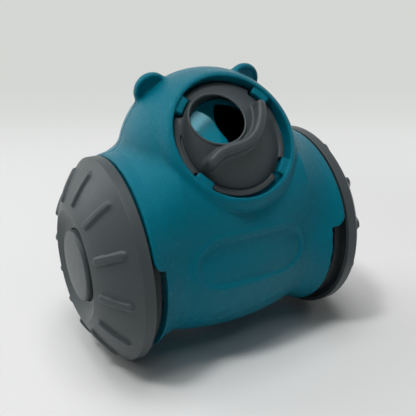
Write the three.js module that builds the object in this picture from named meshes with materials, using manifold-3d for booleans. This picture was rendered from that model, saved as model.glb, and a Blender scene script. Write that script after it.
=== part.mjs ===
// Treat dispensing dog toy: a weighted drum with a bear head, carried between two ribbed wheels.
// Millimetres, +Z up, +X along the axle, the face looks towards -Y.
// The origin is on the floor, under the middle of the axle.

import * as THREE from 'three';
import { mergeVertices } from 'three/addons/utils/BufferGeometryUtils.js';
import Module from 'manifold-3d';

// Whole toy
const wheelRadius = 46;          // tread radius, and the height of the axle over the floor
const wheelInset = 48.6;         // middle of the toy to the inner edge of each tread
const gap = 0.3;                 // clearance between pieces that touch
const runningGap = 0.4;          // clearance of what turns
const overrun = 2;               // how far a cutter runs past what it cuts

// Body shell
const shellWall = 2.2;
const drumDepth = 4.6;           // how far the wheel's inner drum reaches in from the tread
const axleBossOutside = 1.3;     // how far the axle's boss stands out of the end wall
const bodyHalf = wheelInset - drumDepth - runningGap - axleBossOutside;
const bellyRadius = 42.8;        // drum radius in the middle
const waistRadius = 38.9;        // drum radius at the soft crease
const waistSetback = 12.3;       // end wall to the soft crease
const drumEndRadius = 43;        // drum radius at the end wall, front and below
const shoulderRadius = 47.4;     // drum radius at the end wall, on top
const shoulderRise = 0.48;       // slope of the shoulder towards the head
const shoulderFootShare = 0.2;   // of the radius, height where the shoulder starts
const shoulderTopShare = 0.95;   // of the radius, height where it is full
const collarReach = 5.4;         // how far the collar runs past the end wall
const collarRadius = 45;         // collar radius at its free edge
const seamOffset = 10;           // the seam plane lies this far behind the axle
const headRadius = 38.9;
const headHalf = 40.7;           // half the head's width, along the axle
const headBack = 2.3;            // head centre behind the axle
const headHeight = 40.9;         // head centre over the axle
const headBlend = 3;             // softness of the fold between head and drum
const windowHeight = 10.5;       // the collar is cut away below this height over the axle
const windowRound = 3.5;         // round of the collar's lower outer corner

// Face panel on the belly
const panelHalfWidth = 25.5;
const panelHalfHeight = 10;
const panelRise = 8.3;           // panel centre above the axle, in degrees round the drum
const panelDepth = 0.7;

// Ears
const earRadius = 8.2;
const earThickness = 4.6;
const earOffset = 23.4;
const earHeight = 70.5;          // ear centre over the axle
const earFront = 4.9;            // front face behind the axle
const earLean = 10;              // degrees
const earDish = 0.8;             // depth of the hollow in the ear's face
const earRim = 1.7;

// Neck, in its own frame: z = 0 at the lip, +z out of the toy
const neckLean = 53;             // degrees from upright, towards the front
const neckForward = 23.1;        // lip centre in front of the axle
const neckHeight = 55.6;         // lip centre over the axle
const lipRadius = 29;
const neckBore = 27.4;
const lipRound = 0.7;
const neckSwell = 2.8;           // how far the neck swells out below its lip
const neckSwellDepth = 4.5;      // lip to the full swell
const neckSwellShares = [[0.85, 0.6], [0.5, 0.25]];
const neckDepth = 12.5;          // lip to the neck's foot
const throatRadius = 22.4;       // bore below the ledge
const throatWall = 2.9;
const throatDepth = 12.4;
const ledgeDepth = 6;
const lugAngle = 41;             // degrees each side of the neck's own x axis
const lugSpan = 18.4;            // degrees
const lugReach = 24.5;           // inner radius of the lugs
const lugTop = 0.6;              // below the lip
const lugThickness = 2.6;

// Lid
const flangeRadius = 25.8;
const flangeTop = 3.7;           // below the lip
const flangeThickness = 2;
const notchRadius = 24.1;
const notchSpan = 22.4;          // degrees
const coneRadius = 22.6;
const coneFillet = 0.6;
const lidWall = 2;
const holeRadius = 11.4;
const holeLeft = 7.6;            // hole centre from the lid's axis
const holeUp = 7;
const holeRise = 6.9;            // hole centre over the flange
const holeTilt = 10.8;           // degrees
const holeTiltSide = 120.5;      // degrees, direction in which the rim falls away
const beadWidth = 1.2;
const beadHeight = 0.5;
const skirtRadius = 21.9;
const skirtWall = 1.6;
const skirtDepth = 3.9;          // below the flange
const snapReach = 0.9;
const snapThickness = 0.9;
const gripWidth = 4.6;
const gripHeight = 13.2;         // crown of the grip over the flange
const gripDrop = 6;              // how far the crown falls at the flange's edge

// Flow shutter under the lid
const shutterThickness = 1.6;
const shutterRim = 2.3;
const keyWidth = 4.4;
const keyThickness = 1.8;
const keyReach = 1.5;            // how far a key enters its slot

// Wheels, along their own axis: w = 0 at the tread's inner edge, + outwards
const wheelSides = 32;
const treadWidth = 3.5;
const coneFoot = 5.8;            // w where the cone starts
const coneBulge = 1.3;           // how far the cone's middle domes out
const hubRadius = 27.3;          // foot of the hub's raised ring
const hubFoot = 17.6;            // w there
const hubCrest = 18.4;           // w of the ring's crest
const crestRadius = 25.2;
const crestHalf = 0.6;
const coverWall = 2;
const rimWall = 2.1;
const capRadius = 15.8;
const capSeat = 12;              // w of the floor under the cap
const capMouth = 15.5;           // w where the dish meets the cap
const ribCount = 12;
const ribTurnLeft = 27;          // degrees from the front to the left wheel's first rib
const ribTurnRight = 18.5;       // degrees from the back to the right wheel's first rib
const ribInner = 27.9;
const ribOuter = 41.6;
const ribWidth = 3.2;
const ribHeight = 1.3;
const hubBoss = 9;
const drumRadius = 41.5;         // inner drum of the wheel
const plateWall = 2;

// Hub cap
const capCrown = 18.6;           // w of its crown
const capRound = 2.6;
const capSkirt = 1.6;
const capWall = 1.3;

// Axle
const axleRadius = 4;
const bushWall = 1.6;
const axleFlange = 8;
const axleFlangeThickness = 2;
const axleFlatShare = 0.8;       // of the flange's radius, where its flats lie
const axleBossRadius = 7.6;
const axleBossInside = 4;        // length of the boss inside the end wall
const washerRadius = 7.2;
const washerThickness = 0.8;
const screwRadius = 1.5;
const screwHeadRadius = 3.1;
const screwHeadHeight = 1.5;
const screwCrownShare = 0.6;     // of the head's radius, its flat top
const axleScrewLength = 11;

// Ballast
const ballastTop = 29.4;         // below the axle
const ballastFront = 24;         // reach in front of the axle
const ballastBack = 21.7;        // reach behind it: shorter, which sets the balance
const ballastRoom = 1.1;         // between the ballast and the tray's posts
const traySetback = 9.7;         // end wall to the tray's edge
const trayHalfDepth = 19;
const trayThickness = 1.8;
const trayCorner = 4;
const trayPostInset = 3.4;       // tray's edge to the middle of a post
const trayPostFront = 13;
const trayPostBack = 4;
const postRadius = 3.1;
const trayScrewLength = 4.2;

// Screws that close the shells
const closeSetback = 5;          // end wall to the middle of a post
const closeLowZ = -16;
const closeHighZ = 27;
const closePost = 3.7;
const closePostLength = 13;
const closeWell = 3.4;           // radius of the well that the screw head drops into
const closeWellWall = 1.3;
const closeWeb = 2.4;
const closeScrewLength = 12;

// Smoothness
const endShare = 0.35;           // how strongly the loft's stations draw together at the ends
const bodyStations = 18;
const bodySides = 32;
const cavityStations = 10;
const cavitySides = 20;
const lidSides = 32;

const barSides = 12;
const pinSides = 16;
const screwSides = 8;
const capSides = 18;
const crownSides = 48;
const earSides = 16;

const axleHeight = wheelRadius * Math.cos(Math.PI / wheelSides);
const waistOffset = bodyHalf - waistSetback;
const closeX = bodyHalf - closeSetback;
const trayHalf = bodyHalf - traySetback;
const trayPostX = trayHalf - trayPostInset;
const ballastHalf = trayPostX - postRadius - ballastRoom;

const wasm = await Module();
wasm.setup();

// Solids and cuts

// Closed body from a geometry, with its faces turned outwards
function solid(geometry) {
  const bare = geometry.index ? geometry.toNonIndexed() : geometry.clone();
  bare.deleteAttribute('normal');
  bare.deleteAttribute('uv');
  const merged = mergeVertices(bare, gap / 1000);
  const place = merged.attributes.position;
  const corners = [0, 1, 2].map(() => new THREE.Vector3());
  const kept = [];
  let volume = 0;
  for (let i = 0; i < merged.index.count; i += 3) {
    const face = [0, 1, 2].map((corner) => merged.index.getX(i + corner));
    if (new Set(face).size === face.length) {
      face.forEach((vertex, corner) => corners[corner].fromBufferAttribute(place, vertex));
      volume += corners[0].dot(corners[1].clone().cross(corners[2]));
      kept.push(face);
    }
  }
  if (volume < 0) kept.forEach((face) => face.reverse());
  return new wasm.Manifold(new wasm.Mesh({
    numProp: 3,
    vertProperties: place.array,
    triVerts: Uint32Array.from(kept.flat()),
  }));
}

function join(...pieces) {
  return pieces.reduce((whole, piece) => whole.add(piece));
}

function cut(body, ...tools) {
  return tools.reduce((left, tool) => left.subtract(tool), body);
}

function geometryOf(manifold) {
  const mesh = manifold.getMesh();
  const geometry = new THREE.BufferGeometry();
  geometry.setAttribute('position', new THREE.BufferAttribute(mesh.vertProperties, 3));
  geometry.setIndex(new THREE.BufferAttribute(mesh.triVerts, 1));
  geometry.computeVertexNormals();
  return geometry;
}

function degrees(angle) {
  return THREE.MathUtils.degToRad(angle);
}

// Ring or disc turned about X from [radius, x] points
function turnedX(points, sides) {
  const profile = points.map(([radius, along]) => new THREE.Vector2(radius, along));
  const geometry = new THREE.LatheGeometry(profile, sides, Math.PI / sides);
  geometry.rotateZ(-Math.PI / 2);
  return geometry;
}

// Ring or disc turned about Z from [radius, z] points
function turnedZ(points, sides) {
  const profile = points.map(([radius, along]) => new THREE.Vector2(radius, along));
  const geometry = new THREE.LatheGeometry(profile, sides);
  geometry.rotateX(Math.PI / 2);
  return geometry;
}

function closedRing(low, high, inner, outer) {
  return [[inner, low], [outer, low], [outer, high], [inner, high], [inner, low]];
}

function disc(low, high, radius) {
  return [[0, low], [radius, low], [radius, high], [0, high]];
}

function box(lowX, highX, lowY, highY, lowZ, highZ) {
  const geometry = new THREE.BoxGeometry(highX - lowX, highY - lowY, highZ - lowZ);
  geometry.translate((lowX + highX) / 2, (lowY + highY) / 2, (lowZ + highZ) / 2);
  return geometry;
}

// Round bar along Y
function barY(x, z, lowY, highY, radius, sides) {
  const geometry = new THREE.CylinderGeometry(radius, radius, highY - lowY, sides);
  geometry.translate(x, (lowY + highY) / 2, z);
  return geometry;
}

// Round bar along Z
function barZ(x, y, lowZ, highZ, radius, sides) {
  const geometry = new THREE.CylinderGeometry(radius, radius, highZ - lowZ, sides);
  geometry.rotateX(Math.PI / 2);
  geometry.translate(x, y, (lowZ + highZ) / 2);
  return geometry;
}

function extruded(shape, low, high, curveSegments = 6) {
  const settings = { depth: high - low, bevelEnabled: false, curveSegments };
  const geometry = new THREE.ExtrudeGeometry(shape, settings);
  geometry.translate(0, 0, low);
  return geometry;
}

// Ring sector in the XY plane, between two angles in degrees
function sectorShape(inner, outer, from, to) {
  const shape = new THREE.Shape();
  shape.absarc(0, 0, outer, degrees(from), degrees(to), false);
  shape.absarc(0, 0, inner, degrees(to), degrees(from), true);
  shape.closePath();
  return shape;
}

// Closed skin over rows of equally long rings; the rows run from one end or side to the other
function skin(rows, closed) {
  const sides = rows[0].length;
  const positions = rows.flat().flat();
  const index = [];
  const last = closed ? rows.length : rows.length - 1;
  for (let row = 0; row < last; row += 1) {
    const next = (row + 1) % rows.length;
    for (let side = 0; side < sides; side += 1) {
      const turn = (side + 1) % sides;
      const [a, b] = [row * sides + side, row * sides + turn];
      const [c, d] = [next * sides + turn, next * sides + side];
      index.push(a, b, c, a, c, d);
    }
  }
  if (!closed) {
    const ends = [0, rows.length - 1];
    ends.forEach((row, which) => {
      const ring = rows[row];
      const sum = (axis) => ring.reduce((total, point) => total + point[axis], 0);
      const middle = [0, 1, 2].map((axis) => sum(axis) / sides);
      const centre = positions.length / 3;
      positions.push(...middle);
      for (let side = 0; side < sides; side += 1) {
        const [a, b] = [row * sides + side, row * sides + ((side + 1) % sides)];
        if (which === 0) index.push(centre, b, a);
        else index.push(centre, a, b);
      }
    });
  }
  const geometry = new THREE.BufferGeometry();
  geometry.setAttribute('position', new THREE.Float32BufferAttribute(positions, 3));
  geometry.setIndex(index);
  return geometry;
}

// Body shell. Angle 0 looks to the front and 90 degrees straight up.

function ease(value) {
  const t = Math.min(Math.max(value, 0), 1);
  return t * t * (3 - 2 * t);
}

function softMax(a, b, width) {
  const near = Math.max(width - Math.abs(a - b), 0);
  return Math.max(a, b) + near * near / (4 * width);
}

// Radius of the drum: a belly, a waist and a flare, with a shoulder that rises on top
function drumRadiusAt(x, angle) {
  const away = Math.abs(x);
  const belly = bellyRadius - (bellyRadius - waistRadius) * (away / waistOffset) ** 2;
  const flareShare = Math.min((away - waistOffset) / (bodyHalf - waistOffset), 1);
  const flare = waistRadius + (drumEndRadius - waistRadius) * flareShare ** 2;
  const collarShare = Math.max(away - bodyHalf, 0) / collarReach;
  const low = away < waistOffset ? belly : flare + (collarRadius - drumEndRadius) * collarShare;
  const top = away < bodyHalf
    ? shoulderRadius + (bodyHalf - away) * shoulderRise
    : shoulderRadius + (collarRadius - shoulderRadius) * collarShare;
  const upShare = ease((Math.sin(angle) - shoulderFootShare) / (shoulderTopShare - shoulderFootShare));
  return low + (top - low) * upShare * (away > waistOffset ? 1 : away / waistOffset);
}

// Radius of the head, seen from the axle: the far side of a ball that is stretched along the axle
function headRadiusAt(x, angle, inset) {
  const toward = Math.sin(angle) * headHeight - Math.cos(angle) * headBack;
  const reach = headRadius - inset;
  const across = x * reach / (headHalf - inset);
  const under = toward ** 2 - (headHeight ** 2 + headBack ** 2 + across ** 2 - reach ** 2);
  return under > 0 ? toward + Math.sqrt(under) : toward - Math.sqrt(-under);
}

function bodySection(x, inset, sides) {
  const ring = [];
  for (let side = 0; side < sides; side += 1) {
    const angle = 2 * Math.PI * side / sides;
    const drum = drumRadiusAt(x, angle) - inset;
    const radius = softMax(drum, headRadiusAt(x, angle, inset), headBlend);
    ring.push([x, -Math.cos(angle) * radius, Math.sin(angle) * radius]);
  }
  return ring;
}

// Loft along the axle, with its stations drawn together towards the ends
function bodyLoft(half, inset, stations, sides) {
  const rows = [];
  for (let station = 0; station <= stations; station += 1) {
    const share = 2 * station / stations - 1;
    const x = half * (Math.sin(share * Math.PI / 2) * endShare + share * (1 - endShare));
    rows.push(bodySection(x, inset, sides));
  }
  return skin(rows, false);
}

// Neck frame
const neckFrame = new THREE.Matrix4().makeRotationX(degrees(neckLean));
neckFrame.setPosition(0, -neckForward, neckHeight);

function neckSolid(points, sides) {
  return solid(turnedZ(points, sides).applyMatrix4(neckFrame));
}

function lugs() {
  const angles = [lugAngle, 180 - lugAngle, 180 + lugAngle, 360 - lugAngle];
  const half = lugSpan / 2;
  return angles.map((middle) => {
    const shape = sectorShape(lugReach, neckBore + lipRound, middle - half, middle + half);
    const geometry = extruded(shape, -lugTop - lugThickness, -lugTop, 4);
    return solid(geometry.applyMatrix4(neckFrame));
  });
}

function ear(side) {
  const face = earRadius - earRim;
  const round = earThickness / 4;
  const points = [
    [0, earDish], [face, earDish], [face + earDish, 0], [earRadius - round, 0], [earRadius, round],
    [earRadius, earThickness - round], [earRadius - round, earThickness], [0, earThickness],
  ];
  const profile = points.map(([radius, along]) => new THREE.Vector2(radius, along));
  const geometry = new THREE.LatheGeometry(profile, earSides);
  geometry.rotateX(degrees(earLean));
  geometry.translate(side * earOffset, earFront, earHeight);
  return solid(geometry);
}

// Stadium outline, wide along X
function stadium(halfWidth, halfHeight) {
  const shape = new THREE.Shape();
  const straight = halfWidth - halfHeight;
  shape.absarc(straight, 0, halfHeight, -Math.PI / 2, Math.PI / 2, false);
  shape.absarc(-straight, 0, halfHeight, Math.PI / 2, 3 * Math.PI / 2, false);
  shape.closePath();
  return shape;
}

// The panel is cut where a slightly smaller body stays, so its floor keeps the belly's curve
function panelCutter(outer) {
  const prism = extruded(stadium(panelHalfWidth, panelHalfHeight), waistRadius / 2, 2 * bellyRadius, 4);
  const turn = new THREE.Matrix4().makeRotationX(Math.PI / 2 - degrees(panelRise));
  const floor = solid(bodyLoft(bodyHalf, panelDepth, bodyStations, bodySides));
  return solid(prism.applyMatrix4(turn)).intersect(outer).subtract(floor);
}

// Cut-away below the collars, where the wheel's inner drum shows
function collarWindow(side) {
  const deep = 2 * wheelRadius;
  const start = bodyHalf;
  const edge = bodyHalf + collarReach;
  const shape = new THREE.Shape();
  shape.moveTo(start, -deep);
  shape.lineTo(start, windowHeight);
  shape.lineTo(edge - windowRound, windowHeight);
  shape.quadraticCurveTo(edge, windowHeight, edge, windowHeight + windowRound);
  shape.lineTo(edge + overrun, windowHeight + windowRound);
  shape.lineTo(edge + overrun, -deep);
  shape.closePath();
  const geometry = extruded(shape, -deep, deep, 4);
  geometry.rotateX(Math.PI / 2);
  if (side < 0) geometry.rotateZ(Math.PI);
  return solid(geometry);
}

function mirrored(points, side) {
  return points.map(([radius, along]) => [radius, side * along]);
}

function ring(side, low, high, inner, outer, sides) {
  return solid(turnedX(mirrored(closedRing(low, high, inner, outer), side), sides));
}

function plug(side, low, high, radius, sides) {
  return solid(turnedX(mirrored(disc(low, high, radius), side), sides));
}

const inwardWall = bodyHalf - shellWall;
const sidesOfToy = [-1, 1];
const closePlaces = sidesOfToy.flatMap((side) => (
  [closeLowZ, closeHighZ].map((z) => [side * closeX, z])
));
const trayPlaces = sidesOfToy.flatMap((side) => (
  [-trayPostFront, trayPostBack].map((y) => [side * trayPostX, y])
));
const trayFloor = -ballastTop + gap;

// Both shells in one piece, with everything that is moulded on them
function wholeShell() {
  const loft = solid(bodyLoft(bodyHalf + collarReach, 0, bodyStations, bodySides));
  const foot = -neckDepth - neckSwell;
  const wide = lipRadius + neckSwell;
  const swell = neckSwellShares.map(([out, down]) => (
    [lipRadius + neckSwell * out, -neckSwellDepth * down]
  ));
  const neck = neckSolid([
    [0, foot], [wide, foot], [wide, -neckSwellDepth], ...swell, [lipRadius, -lipRound],
    [lipRadius - lipRound, 0], [0, 0],
  ], lidSides);
  const outer = join(loft, neck, ear(-1), ear(1));
  const cavity = solid(bodyLoft(inwardWall, shellWall, cavityStations, cavitySides));
  const midWall = solid(bodyLoft(inwardWall + shellWall / 2, shellWall / 2, cavityStations, cavitySides));
  const keptNeck = neckSolid(disc(-ledgeDepth - shellWall, 0, neckBore + shellWall), lidSides);
  const keptThroat = neckSolid(disc(-throatDepth, 0, throatRadius + throatWall), lidSides);
  const bosses = sidesOfToy.flatMap((side) => [
    ring(side, inwardWall - axleBossInside, inwardWall + gap, axleRadius, axleBossRadius, pinSides),
    ring(side, bodyHalf - gap, bodyHalf + axleBossOutside, axleRadius, axleBossRadius, pinSides),
  ]);
  const posts = closePlaces.map(([x, z]) => {
    const front = solid(barY(x, z, seamOffset - closePostLength, seamOffset, closePost, barSides));
    const well = solid(barY(x, z, seamOffset, 2 * wheelRadius, closeWell + closeWellWall, barSides));
    return front.add(well).intersect(midWall);
  });
  const trayPosts = trayPlaces.map(([x, y]) => (
    solid(barZ(x, y, -2 * wheelRadius, trayFloor - gap, postRadius, barSides)).intersect(midWall)
  ));
  const walls = cut(outer, cavity.subtract(keptNeck).subtract(keptThroat));
  const whole = join(walls, ...lugs(), ...bosses, ...posts, ...trayPosts);
  const keySlot = box(-keySlotReach, keySlotReach, -keyWidth / 2 - gap, keyWidth / 2 + gap,
    -throatDepth - overrun, -ledgeDepth).applyMatrix4(neckFrame);
  return { whole, loft, keySlot: solid(keySlot) };
}

const keySlotReach = throatRadius + keyReach + gap;

function shellCutters() {
  const wide = lipRadius + neckSwell;
  const bore = neckSolid([
    [0, -ledgeDepth], [neckBore, -ledgeDepth], [neckBore, 0], [wide, 0], [wide, lipRadius], [0, lipRadius],
  ], lidSides);
  const throat = neckSolid(disc(-neckDepth - 3 * overrun, 0, throatRadius), lidSides);
  const wheelRooms = sidesOfToy.map((side) => (
    ring(side, bodyHalf, wheelInset + overrun, axleBossRadius, drumRadius + runningGap, wheelSides)
  ));
  const bossRooms = sidesOfToy.map((side) => (
    plug(side, bodyHalf + axleBossOutside, wheelInset + overrun, axleBossRadius + overrun, pinSides)
  ));
  const axleHoles = sidesOfToy.map((side) => (
    plug(side, inwardWall - axleBossInside - overrun, wheelInset, axleRadius + gap, pinSides)
  ));
  const windows = sidesOfToy.map((side) => collarWindow(side));
  const deepest = seamOffset - closePostLength + closeWeb;
  const screwRooms = closePlaces.flatMap(([x, z]) => [
    solid(barY(x, z, deepest, 2 * seamOffset, screwRadius + gap, screwSides)),
    solid(barY(x, z, seamOffset + closeWeb, 2 * wheelRadius, closeWell, barSides)),
  ]);
  const trayRooms = trayPlaces.map(([x, y]) => (
    solid(barZ(x, y, trayFloor - gap - trayScrewLength - gap, trayFloor, screwRadius + gap, screwSides))
  ));
  const rest = [...wheelRooms, ...bossRooms, ...axleHoles, ...windows, ...screwRooms, ...trayRooms];
  return { bore, throat, rest };
}

function shells() {
  const { whole, keySlot } = wholeShell();
  const { bore, throat, rest } = shellCutters();
  const lugSolids = lugs();
  const panel = panelCutter(solid(bodyLoft(bodyHalf, -panelDepth, bodyStations, bodySides)));
  const opened = join(cut(whole, bore, throat, keySlot, panel, ...rest), ...lugSolids);
  const far = 3 * wheelRadius;
  const front = opened.intersect(solid(box(-far, far, -far, seamOffset - gap / 2, -far, far)));
  const rear = opened.intersect(solid(box(-far, far, seamOffset + gap / 2, far, -far, far)));
  return { front, rear };
}

// Lid, in the neck's frame

const flangeUnder = -flangeTop - flangeThickness;
const skirtFoot = flangeUnder - skirtDepth;

// Ring of the lid: centre, radius, and the tilt of its plane
function lidRing(x, y, z, radius, tilt) {
  const points = [];
  const side = new THREE.Vector3(Math.cos(degrees(holeTiltSide)), Math.sin(degrees(holeTiltSide)), 0);
  for (let i = 0; i < lidSides; i += 1) {
    const angle = 2 * Math.PI * i / lidSides;
    const flat = new THREE.Vector3(Math.cos(angle) * radius, Math.sin(angle) * radius, 0);
    const along = flat.dot(side);
    const drop = -along * Math.sin(degrees(tilt));
    const pull = along * (Math.cos(degrees(tilt)) - 1);
    points.push([x + flat.x + side.x * pull, y + flat.y + side.y * pull, z + drop]);
  }
  return points;
}

// Ring on the way from the flange to the hole's rim, share 0 to 1
function coneRing(share, radiusLow, radiusHigh, zLow, zHigh) {
  return lidRing(-holeLeft * share, holeUp * share, zLow + (zHigh - zLow) * share,
    radiusLow + (radiusHigh - radiusLow) * share, holeTilt * share);
}

// Shares of the cone's radius, from the upper right wing round the hole to the lower left wing
const gripShares = [
  [0.63, 0.45], [0.56, 0.21], [0.4, -0.03], [0.21, -0.19], [-0.02, -0.28], [-0.2, -0.32], [-0.39, -0.34],
  [-0.57, -0.4], [-0.77, -0.52],
];

function gripShape() {
  const points = gripShares.map(([x, y]) => new THREE.Vector3(x * coneRadius, y * coneRadius, 0));
  const line = new THREE.CatmullRomCurve3(points);
  const steps = 12;
  const left = [];
  const right = [];
  const half = gripWidth / 2;
  for (let i = 0; i <= steps; i += 1) {
    const point = line.getPoint(i / steps);
    const way = line.getTangent(i / steps);
    left.push([point.x - way.y * half, point.y + way.x * half]);
    right.push([point.x + way.y * half, point.y - way.x * half]);
  }
  const endRound = (share, sign) => {
    const point = line.getPoint(share);
    const way = line.getTangent(share);
    return [1, 0, -1].map((turn) => {
      const angle = Math.PI * turn / 4 * sign;
      const out = [way.x * sign, way.y * sign];
      const across = [-way.y * sign, way.x * sign];
      const [c, s] = [Math.cos(angle) * half, Math.sin(angle) * sign * half];
      return [point.x + out[0] * c + across[0] * s, point.y + out[1] * c + across[1] * s];
    });
  };
  const outline = [...left, ...endRound(1, 1), ...right.reverse(), ...endRound(0, -1)];
  return new THREE.Shape(outline.map(([x, y]) => new THREE.Vector2(x, y)));
}

// Heights of the cone's middle rings, shares of its rise
const coneShares = [0.35, 0.7];

function lid() {
  const rimOuter = holeRadius + beadWidth;
  const top = -flangeTop;
  const rim = top + holeRise;
  const skirtInner = skirtRadius - skirtWall;
  const snapInner = skirtInner - snapReach;
  const coneRows = coneShares.map((share) => (
    coneRing(share, coneRadius + lidWall / 4, rimOuter + lidWall / 4, top, rim)
  ));
  const rows = [
    lidRing(0, 0, top, flangeRadius, 0),
    lidRing(0, 0, top, coneRadius + coneFillet, 0),
    lidRing(0, 0, top - coneFillet / 2, coneRadius + coneFillet / 2, 0),
    lidRing(0, 0, top, coneRadius, 0),
    ...coneRows,
    coneRing(1, coneRadius, rimOuter, top, rim),
    coneRing(1, coneRadius, rimOuter - beadWidth / 3, top, rim + beadHeight),
    coneRing(1, coneRadius, holeRadius, top, rim + beadHeight / 2),
    coneRing(1, coneRadius, holeRadius, top, rim - lidWall),
    lidRing(0, 0, flangeUnder, skirtInner, 0),
    lidRing(0, 0, skirtFoot + snapThickness, skirtInner, 0),
    lidRing(0, 0, skirtFoot + snapThickness, snapInner, 0),
    lidRing(0, 0, skirtFoot, snapInner + snapReach / 2, 0),
    lidRing(0, 0, skirtFoot, skirtRadius, 0),
    lidRing(0, 0, flangeUnder, skirtRadius, 0),
    lidRing(0, 0, flangeUnder, flangeRadius, 0),
  ];
  const body = solid(skin(rows, true));
  const crownRadius = (flangeRadius ** 2 + gripDrop ** 2) / (2 * gripDrop);
  const crown = new THREE.SphereGeometry(crownRadius, crownSides, crownSides);
  crown.translate(0, 0, -flangeTop + gripHeight - crownRadius);
  const bar = solid(extruded(gripShape(), top - flangeThickness / 2, gripHeight));
  const blade = bar.intersect(solid(crown));
  const inside = [
    coneRing(1, coneRadius, holeRadius, top, rim + beadHeight + gripHeight),
    coneRing(1, coneRadius, holeRadius, top, rim - lidWall),
    lidRing(0, 0, flangeUnder, skirtInner, 0),
    lidRing(0, 0, skirtFoot, skirtInner, 0),
  ];
  const room = solid(skin(inside, false));
  const angles = [lugAngle, 180 - lugAngle, 180 + lugAngle, 360 - lugAngle];
  const half = notchSpan / 2;
  const notches = angles.map((middle) => {
    const shape = sectorShape(notchRadius, flangeRadius + overrun, middle - half, middle + half);
    return solid(extruded(shape, flangeUnder - overrun, top + overrun, 5));
  });
  return cut(body.add(blade.subtract(room)), ...notches);
}

// Shutter's edge in shares of its opening's radius, from top to bottom
const edgeShares = [[0, 1], [-0.13, 0.6], [-0.1, 0.4], [0.05, 0], [0.1, -0.4], [0.13, -0.6], [0, -1]];

// Shutter: a disc half open along an S-shaped edge, with two keys that drop into the throat's slots
function shutter() {
  const discRadius = skirtRadius - skirtWall - gap;
  const foot = skirtFoot + snapThickness + gap;
  const opening = discRadius - shutterRim;
  const shape = new THREE.Shape();
  shape.absarc(0, 0, discRadius, 0, 2 * Math.PI, false);
  const plate = solid(extruded(shape, foot, foot + shutterThickness, 24));
  const edgePoints = edgeShares.map(([x, y]) => new THREE.Vector3(x * opening, y * opening, 0));
  const edge = new THREE.CatmullRomCurve3(edgePoints);
  const mouth = new THREE.Shape();
  edge.getPoints(12).forEach((point, i) => {
    if (i === 0) mouth.moveTo(point.x, point.y);
    else mouth.lineTo(point.x, point.y);
  });
  mouth.absarc(0, 0, opening, -Math.PI / 2, Math.PI / 2, false);
  const hole = solid(extruded(mouth, foot - overrun, foot + shutterThickness + overrun, 10));
  const reach = throatRadius + keyReach;
  const keyTop = skirtFoot - gap;
  const half = keyWidth / 2;
  const near = opening - overrun;
  const bar = (side, far, high) => {
    const [left, right] = [side * near, side * far].sort((a, b) => a - b);
    return solid(box(left, right, -half, half, keyTop - keyThickness, high));
  };
  const keys = sidesOfToy.flatMap((side) => (
    [bar(side, reach, keyTop), bar(side, opening + shutterRim / 2, foot + shutterThickness / 2)]
  ));
  return join(plate.subtract(hole), ...keys);
}

// Wheels. side is -1 for the left wheel and 1 for the right one.

const capWellRadius = capRadius + gap;
const bushRadius = axleRadius + gap + bushWall;
const boreRadius = bushRadius + gap;
const coneSlope = (hubFoot - coneFoot) / (wheelRadius - crestHalf - hubRadius);
const coneMiddle = (wheelRadius - crestHalf + hubRadius) / 2;
const faceMiddle = (hubFoot + coneFoot) / 2;

// Profile points measured from the tread's inner edge, placed on the toy's own axis
function outward(points, side) {
  return points.map(([radius, w]) => [radius, side * (wheelInset + w)]);
}

function coverBody(side) {
  const foot = plateWall + gap - drumDepth;
  const points = [
    [boreRadius, capSeat], [capWellRadius, capSeat], [capWellRadius, capMouth],
    [crestRadius - crestHalf, hubCrest], [crestRadius + crestHalf, hubCrest], [hubRadius, hubFoot],
    [coneMiddle, faceMiddle + coneBulge], [wheelRadius - crestHalf, coneFoot],
    [wheelRadius, treadWidth], [wheelRadius, 0], [wheelRadius - rimWall, 0],
    [wheelRadius - rimWall, treadWidth - gap], [hubRadius - coverWall / 2, hubFoot - coverWall - gap],
    [capWellRadius + coverWall, capSeat - coverWall], [hubBoss, capSeat - coverWall], [hubBoss, foot],
    [boreRadius, foot], [boreRadius, capSeat],
  ];
  return solid(turnedX(outward(points, side), wheelSides));
}

// Rounded bar that lies on the cone, turned to its place on the wheel
function rib(side, number) {
  const lean = Math.atan(coneSlope);
  const length = (ribOuter - ribInner) / Math.cos(lean);
  const shape = stadium(length / 2, ribWidth / 2);
  const geometry = extruded(shape, 0, 2 * ribHeight, 2);
  const middle = (ribOuter + ribInner) / 2;
  const surface = hubFoot - (middle - hubRadius) * coneSlope + coneBulge * 3 / 4;
  geometry.translate(0, 0, -ribHeight);
  geometry.rotateY(lean);
  geometry.translate(middle, 0, surface);
  const turn = side > 0 ? ribTurnRight : ribTurnLeft;
  geometry.rotateZ(degrees(turn + number * 360 / ribCount));
  return solid(placeOutward(geometry, side));
}

// From the wheel's own frame (z outwards, x to the front, y up) to the toy's
function placeOutward(geometry, side) {
  const toToy = new THREE.Matrix4().makeBasis(
    new THREE.Vector3(0, -1, 0),
    new THREE.Vector3(0, 0, 1),
    new THREE.Vector3(-1, 0, 0),
  );
  geometry.applyMatrix4(toToy);
  geometry.translate(-wheelInset, 0, 0);
  if (side > 0) geometry.rotateZ(Math.PI);
  return geometry;
}

function wheelCover(side) {
  const ribs = Array.from({ length: ribCount }, (_, number) => rib(side, number));
  return join(coverBody(side), ...ribs);
}

function wheelPlate(side) {
  const lipRadiusOut = wheelRadius - rimWall - gap;
  const points = [
    [boreRadius, -drumDepth], [drumRadius - plateWall / 4, -drumDepth],
    [drumRadius, plateWall / 4 - drumDepth], [drumRadius, gap], [lipRadiusOut, gap],
    [lipRadiusOut, plateWall - gap], [drumRadius - plateWall, plateWall - gap],
    [drumRadius - plateWall, plateWall - drumDepth], [boreRadius, plateWall - drumDepth],
    [boreRadius, -drumDepth],
  ];
  return solid(turnedX(outward(points, side), wheelSides));
}

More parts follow.
